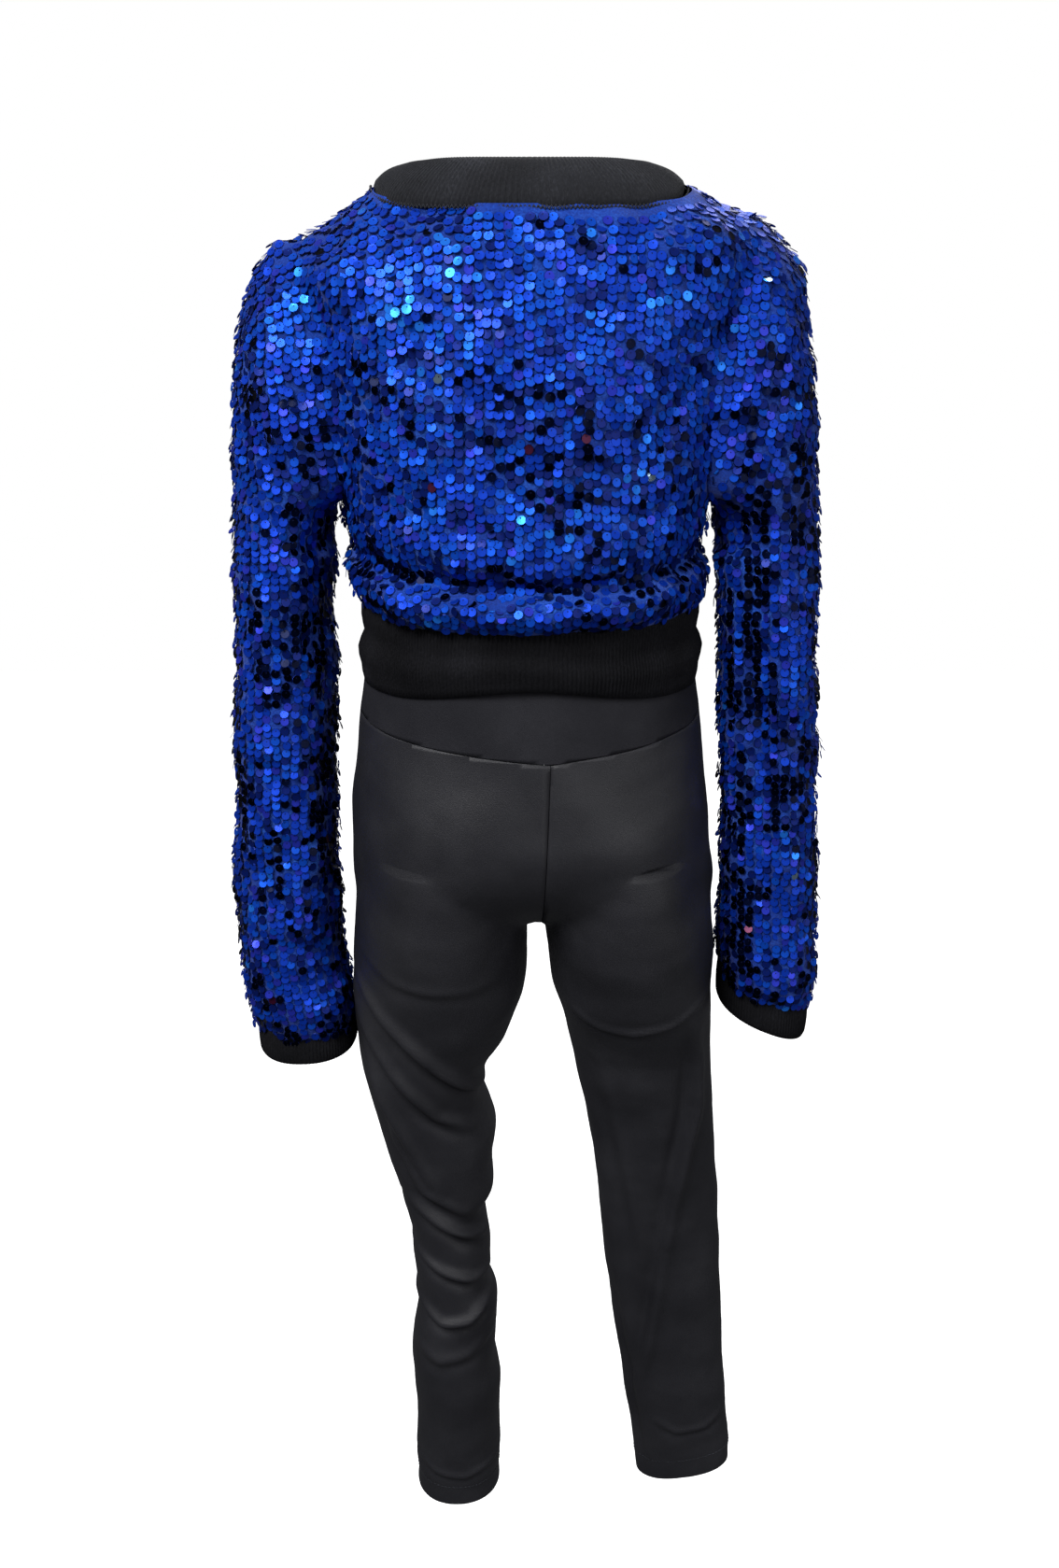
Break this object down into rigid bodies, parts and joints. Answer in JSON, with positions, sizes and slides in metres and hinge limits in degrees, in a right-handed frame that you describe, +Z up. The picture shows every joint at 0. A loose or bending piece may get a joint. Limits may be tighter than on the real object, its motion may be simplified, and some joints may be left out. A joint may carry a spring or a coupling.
{
  "type": "cheer uniform",
  "caption": "Child's cheer uniform as worn: long-sleeved sequinned crop top with black rib neckband, cuffs and hem band, over black high-waisted leggings with a V-shaped back yoke.",
  "frame": {"origin": "middle of the leggings' waist, at the height of the wearer's waist", "axes": "+X to the wearer's right, +Y to the wearer's front, +Z up along the body"},
  "size_m": [0.3884, 0.1707, 0.956],
  "materials": {
    "sequin_knit": "light blue knit covered with small round glossy sequins from cyan and royal blue to navy",
    "black_rib": "matte black rib knit",
    "black_knit": "matte black four-way stretch knit",
    "elastic": "black woven elastic"
  },
  "bodies": {
    "leggings": {"waistband_back": "black_knit", "waistband_front": "black_knit", "waistband_back_lining": "black_knit", "waistband_front_lining": "black_knit", "waist_elastic": "elastic", "left_leg": "black_knit", "right_leg": "black_knit"},
    "top": {"back_panel": "sequin_knit", "front_panel": "sequin_knit", "neckband": "black_rib", "hem_band": "black_rib"},
    "left_sleeve": {"left_sleeve": "sequin_knit", "left_cuff": "black_rib"},
    "right_sleeve": {"right_sleeve": "sequin_knit", "right_cuff": "black_rib"}
  },
  "joints": [
    {"name": "top_lift", "type": "slide", "parent": "leggings", "child": "top", "axis": [0, 0, 1], "range_m": [0, 0.32]},
    {"name": "left_arm_swing", "type": "hinge", "parent": "top", "child": "left_sleeve", "pos_m": [-0.1118, 0, 0.212], "axis": [0, 1, 0], "range_deg": [0, 75]},
    {"name": "right_arm_swing", "type": "hinge", "parent": "top", "child": "right_sleeve", "pos_m": [0.1073, 0, 0.212], "axis": [0, -1, 0], "range_deg": [0, 75]}
  ]
}
